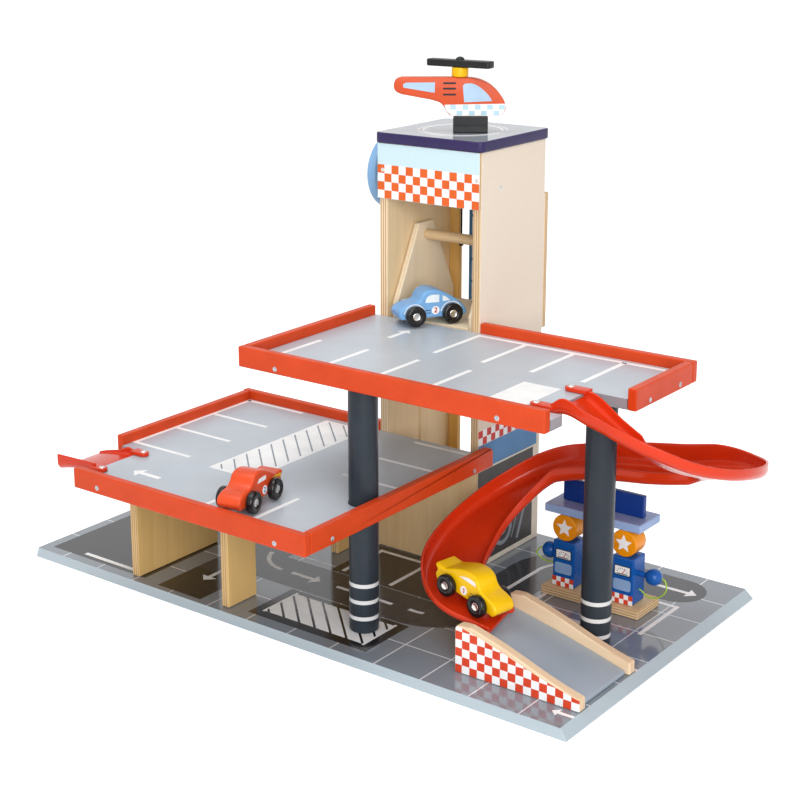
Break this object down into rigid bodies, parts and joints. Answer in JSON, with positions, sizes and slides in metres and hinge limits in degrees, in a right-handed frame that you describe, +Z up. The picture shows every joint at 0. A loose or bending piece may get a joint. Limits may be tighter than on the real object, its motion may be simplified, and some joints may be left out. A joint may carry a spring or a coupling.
{
  "type": "toy parking garage",
  "caption": "Wooden toy parking garage with two decks, a winding lift tower, a moulded slide, a ramp, fuel pumps, toy cars and a helicopter.",
  "frame": {"origin": "middle of the base board's underside, on the table", "axes": "+Z up, +X along the front edge of the base towards the slide, +Y to the back, where the lift tower stands"},
  "size_m": [0.6858, 0.3952, 0.4864],
  "materials": {
    "birch": "clear lacquered plywood",
    "rail_red": "satin paint",
    "slide_red": "glossy moulded",
    "deck_grey": "satin print",
    "base_grey": "satin print",
    "pillar_grey": "satin paint",
    "roof_navy": "satin paint",
    "pale_blue": "satin print",
    "disc_blue": "satin paint",
    "slat_blue": "satin print",
    "pump_blue": "gloss paint",
    "canopy_blue": "satin paint",
    "sign_blue": "satin paint",
    "dial_yellow": "gloss paint",
    "hose_green": "matte",
    "car_blue": "gloss paint",
    "car_red": "gloss paint",
    "car_yellow": "gloss paint",
    "wheel_black": "gloss",
    "black": "satin paint",
    "string": "matte"
  },
  "bodies": {
    "garage": {"base_board": "base_grey", "lower_deck": "deck_grey", "lower_rail_front": "rail_red", "lower_rail_right": "rail_red", "lower_rail_left": "rail_red", "lower_rail_back": "rail_red", "upper_deck": "deck_grey", "upper_rail_front": "rail_red", "upper_rail_left": "rail_red", "upper_rail_back": "rail_red", "upper_rail_right": "rail_red", "bay_wall": "birch", "arch_wall": "birch", "tower_side_left": "birch", "tower_side_right": "birch", "tower_front_panel": "birch", "tower_back_stile": "birch", "tower_back_board": "slat_blue", "tower_header": "pale_blue", "tower_roof": "roof_navy", "pillar_left": "pillar_grey", "pillar_right": "pillar_grey", "slide_upper": "slide_red", "slide_lower": "slide_red", "exit_chute": "slide_red", "ramp_cheek_front": "birch", "ramp_cheek_back": "birch", "ramp_board": "deck_grey", "pump_base": "birch", "pump_body_left": "pump_blue", "pump_body_right": "pump_blue", "pump_dial_left": "dial_yellow", "pump_dial_right": "dial_yellow", "pump_canopy": "canopy_blue", "pump_sign": "sign_blue", "hose_left": "hose_green", "hose_right": "hose_green"},
    "lift": {"lift_side_left": "birch", "lift_side_right": "birch", "lift_floor": "birch", "lift_bar": "birch", "lift_string": "string"},
    "winder": {"winding_disc": "disc_blue", "winding_axle": "birch"},
    "nozzle_left_peg": {"nozzle_left": "pump_blue"},
    "nozzle_right_peg": {"nozzle_right": "pump_blue"},
    "helicopter": {"helicopter_stand": "black", "helicopter_body": "car_red", "helicopter_mast": "dial_yellow"},
    "rotor": {"helicopter_rotor": "black"},
    "blue_car": {"blue_car_body": "car_blue"},
    "blue_wheels_front": {"blue_car_wheels_front": "wheel_black"},
    "blue_wheels_rear": {"blue_car_wheels_rear": "wheel_black"},
    "red_car": {"red_car_body": "car_red"},
    "red_wheels_front": {"red_car_wheels_front": "wheel_black"},
    "red_wheels_rear": {"red_car_wheels_rear": "wheel_black"},
    "yellow_car": {"yellow_car_body": "car_yellow"},
    "yellow_wheels_front": {"yellow_car_wheels_front": "wheel_black"},
    "yellow_wheels_rear": {"yellow_car_wheels_rear": "wheel_black"}
  },
  "joints": [
    {"name": "lift_travel", "type": "slide", "parent": "garage", "child": "lift", "axis": [0, 0, 1], "range_m": [-0.1165, 0], "deforming": ["lift_string"]},
    {"name": "winder_turn", "type": "hinge", "parent": "garage", "child": "winder", "pos_m": [0, 0.10285, 0.374], "axis": [1, 0, 0], "range_deg": [-1191.96, 0]},
    {"name": "nozzle_left_pull", "type": "slide", "parent": "garage", "child": "nozzle_left_peg", "axis": [-1, 0, 0], "range_m": [0, 0.008], "deforming": ["hose_left"]},
    {"name": "nozzle_right_pull", "type": "slide", "parent": "garage", "child": "nozzle_right_peg", "axis": [1, 0, 0], "range_m": [0, 0.008], "deforming": ["hose_right"]},
    {"name": "blue_car_lift_off", "type": "slide", "parent": "garage", "child": "blue_car", "axis": [0, 0, 1], "range_m": [0, 0.03]},
    {"name": "blue_front_axle", "type": "hinge", "parent": "blue_car", "child": "blue_wheels_front", "pos_m": [0.0076, 0.03881, 0.2541], "axis": [0.848, -0.5299, 0], "continuous": true},
    {"name": "blue_rear_axle", "type": "hinge", "parent": "blue_car", "child": "blue_wheels_rear", "pos_m": [0.0272, 0.07019, 0.2541], "axis": [0.848, -0.5299, 0], "continuous": true},
    {"name": "red_car_lift_off", "type": "slide", "parent": "garage", "child": "red_car", "axis": [0, 0, 1], "range_m": [0, 0.04]},
    {"name": "red_front_axle", "type": "hinge", "parent": "red_car", "child": "red_wheels_front", "pos_m": [-0.00187, -0.19516, 0.137], "axis": [0.9816, 0.1908, 0], "continuous": true},
    {"name": "red_rear_axle", "type": "hinge", "parent": "red_car", "child": "red_wheels_rear", "pos_m": [-0.00893, -0.15884, 0.137], "axis": [0.9816, 0.1908, 0], "continuous": true},
    {"name": "yellow_car_lift_off", "type": "slide", "parent": "garage", "child": "yellow_car", "axis": [0, 0, 1], "range_m": [0, 0.04]},
    {"name": "yellow_front_axle", "type": "hinge", "parent": "yellow_car", "child": "yellow_wheels_front", "pos_m": [0.18646, -0.09322, 0.05829], "axis": [0.1908, 0.9816, 0], "continuous": true},
    {"name": "yellow_rear_axle", "type": "hinge", "parent": "yellow_car", "child": "yellow_wheels_rear", "pos_m": [0.15081, -0.08629, 0.06535], "axis": [0.1908, 0.9816, 0], "continuous": true},
    {"name": "helicopter_lift_off", "type": "slide", "parent": "garage", "child": "helicopter", "axis": [0, 0, 1], "range_m": [0, 0.05]},
    {"name": "rotor_spin", "type": "hinge", "parent": "helicopter", "child": "rotor", "pos_m": [0.02623, 0.09065, 0.4832], "axis": [0, 0, 1], "continuous": true}
  ],
  "couplings": [
    {"joint": "winder_turn", "follows": "lift_travel", "rad_per_m": 178.57}
  ]
}
